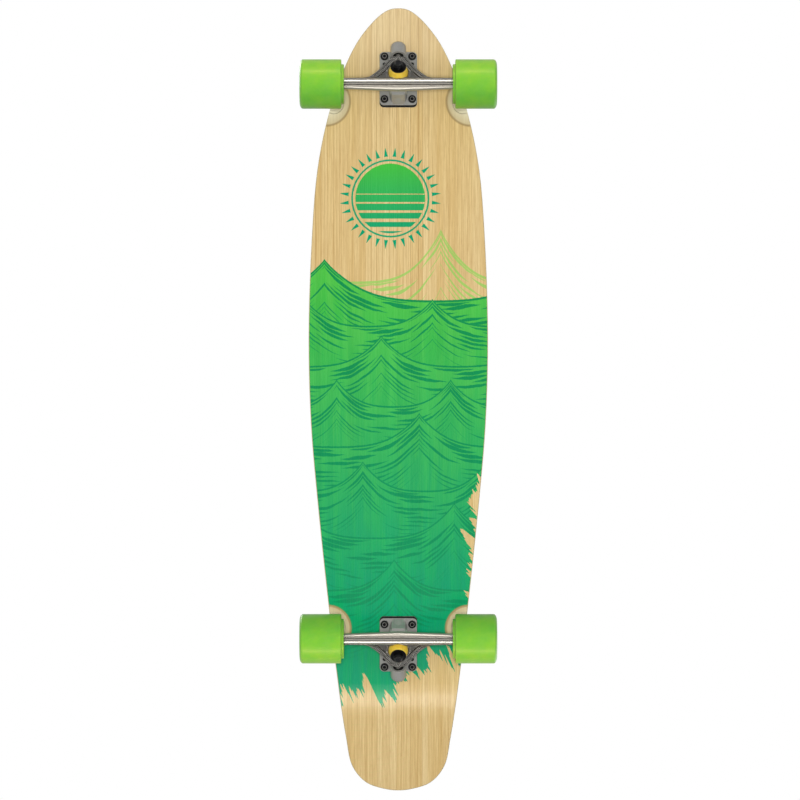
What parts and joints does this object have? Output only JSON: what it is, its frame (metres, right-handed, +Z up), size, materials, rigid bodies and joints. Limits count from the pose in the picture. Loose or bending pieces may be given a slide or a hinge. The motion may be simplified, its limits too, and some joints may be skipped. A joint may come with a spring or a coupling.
{
  "type": "kicktail longboard",
  "caption": "Long wooden skateboard with a flat rounded nose, a raised tail, wheel wells, sprung steering trucks and wide soft wheels.",
  "frame": {"origin": "on the ground, below the middle of the deck's length and width", "axes": "+X to the nose, +Y to the left of a rider who faces the nose, +Z up"},
  "size_m": [1.172, 0.2916, 0.1617],
  "materials": {
    "maple": "satin clear lacquer",
    "cross_maple": "cut edge, satin lacquer",
    "grit": "black grip tape, coarse grit",
    "cast_grey": "tumbled casting, dull pewter",
    "bright_alloy": "polished casting, brushed along the beam",
    "steel": "zinc-plated steel",
    "black_steel": "black oxide, slightly oiled",
    "black_urethane": "dull black urethane",
    "amber_urethane": "slightly clear yellow urethane",
    "green_urethane": "smooth lime green urethane",
    "core_plastic": "moulded hard core"
  },
  "bodies": {
    "deck": {"bottom_veneer": "maple", "core_ply_1": "cross_maple", "core_ply_2": "maple", "core_ply_3": "cross_maple", "core_ply_4": "maple", "core_ply_5": "cross_maple", "top_veneer": "maple", "grip_tape": "grit", "front_riser_pad": "black_urethane", "front_baseplate": "cast_grey", "front_pivot_cup": "black_urethane", "front_kingpin": "steel", "front_kingpin_nut": "black_steel", "front_board_bushing": "amber_urethane", "front_road_bushing": "amber_urethane", "front_board_washer": "black_steel", "front_road_washer": "black_steel", "front_deck_bolts": "black_steel", "front_deck_nuts": "black_steel", "rear_riser_pad": "black_urethane", "rear_baseplate": "cast_grey", "rear_pivot_cup": "black_urethane", "rear_kingpin": "steel", "rear_kingpin_nut": "black_steel", "rear_board_bushing": "amber_urethane", "rear_road_bushing": "amber_urethane", "rear_board_washer": "black_steel", "rear_road_washer": "black_steel", "rear_deck_bolts": "black_steel", "rear_deck_nuts": "black_steel"},
    "front_truck": {"front_hanger": "bright_alloy", "front_axle": "steel", "front_axle_nuts": "steel", "front_speed_washers": "steel", "front_bearing_inner_rings": "steel", "front_bearing_spacers": "steel"},
    "rear_truck": {"rear_hanger": "bright_alloy", "rear_axle": "steel", "rear_axle_nuts": "steel", "rear_speed_washers": "steel", "rear_bearing_inner_rings": "steel", "rear_bearing_spacers": "steel"},
    "front_left_wheel": {"front_left_tyre": "green_urethane", "front_left_core": "core_plastic", "front_left_bearing_outer_rings": "steel"},
    "front_left_balls": {"front_left_bearing_balls": "steel"},
    "front_right_wheel": {"front_right_tyre": "green_urethane", "front_right_core": "core_plastic", "front_right_bearing_outer_rings": "steel"},
    "front_right_balls": {"front_right_bearing_balls": "steel"},
    "rear_left_wheel": {"rear_left_tyre": "green_urethane", "rear_left_core": "core_plastic", "rear_left_bearing_outer_rings": "steel"},
    "rear_left_balls": {"rear_left_bearing_balls": "steel"},
    "rear_right_wheel": {"rear_right_tyre": "green_urethane", "rear_right_core": "core_plastic", "rear_right_bearing_outer_rings": "steel"},
    "rear_right_balls": {"rear_right_bearing_balls": "steel"}
  },
  "joints": [
    {"name": "front_steer", "type": "hinge", "parent": "deck", "child": "front_truck", "pos_m": [0.4822, 0, 0.0555], "axis": [0.8, 0, 0.6], "range_deg": [-12, 12], "stiffness_Nm_per_rad": 60, "deforming": ["front_board_bushing", "front_road_bushing"]},
    {"name": "rear_steer", "type": "hinge", "parent": "deck", "child": "rear_truck", "pos_m": [-0.3657, 0, 0.0555], "axis": [-0.8, 0, 0.6], "range_deg": [-12, 12], "stiffness_Nm_per_rad": 60, "deforming": ["rear_board_bushing", "rear_road_bushing"]},
    {"name": "front_left_spin", "type": "hinge", "parent": "front_truck", "child": "front_left_wheel", "pos_m": [0.4682, 0.1131, 0.0365], "axis": [0, 1, 0], "continuous": true},
    {"name": "front_left_cage", "type": "hinge", "parent": "front_truck", "child": "front_left_balls", "pos_m": [0.4682, 0.1131, 0.0365], "axis": [0, 1, 0], "continuous": true},
    {"name": "front_right_spin", "type": "hinge", "parent": "front_truck", "child": "front_right_wheel", "pos_m": [0.4682, -0.1131, 0.0365], "axis": [0, 1, 0], "continuous": true},
    {"name": "front_right_cage", "type": "hinge", "parent": "front_truck", "child": "front_right_balls", "pos_m": [0.4682, -0.1131, 0.0365], "axis": [0, 1, 0], "continuous": true},
    {"name": "rear_left_spin", "type": "hinge", "parent": "rear_truck", "child": "rear_left_wheel", "pos_m": [-0.3517, 0.1131, 0.0365], "axis": [0, 1, 0], "continuous": true},
    {"name": "rear_left_cage", "type": "hinge", "parent": "rear_truck", "child": "rear_left_balls", "pos_m": [-0.3517, 0.1131, 0.0365], "axis": [0, 1, 0], "continuous": true},
    {"name": "rear_right_spin", "type": "hinge", "parent": "rear_truck", "child": "rear_right_wheel", "pos_m": [-0.3517, -0.1131, 0.0365], "axis": [0, 1, 0], "continuous": true},
    {"name": "rear_right_cage", "type": "hinge", "parent": "rear_truck", "child": "rear_right_balls", "pos_m": [-0.3517, -0.1131, 0.0365], "axis": [0, 1, 0], "continuous": true}
  ],
  "couplings": [
    {"joint": "front_left_cage", "follows": "front_left_spin", "ratio": 0.628},
    {"joint": "front_right_cage", "follows": "front_right_spin", "ratio": 0.628},
    {"joint": "rear_left_cage", "follows": "rear_left_spin", "ratio": 0.628},
    {"joint": "rear_right_cage", "follows": "rear_right_spin", "ratio": 0.628}
  ]
}
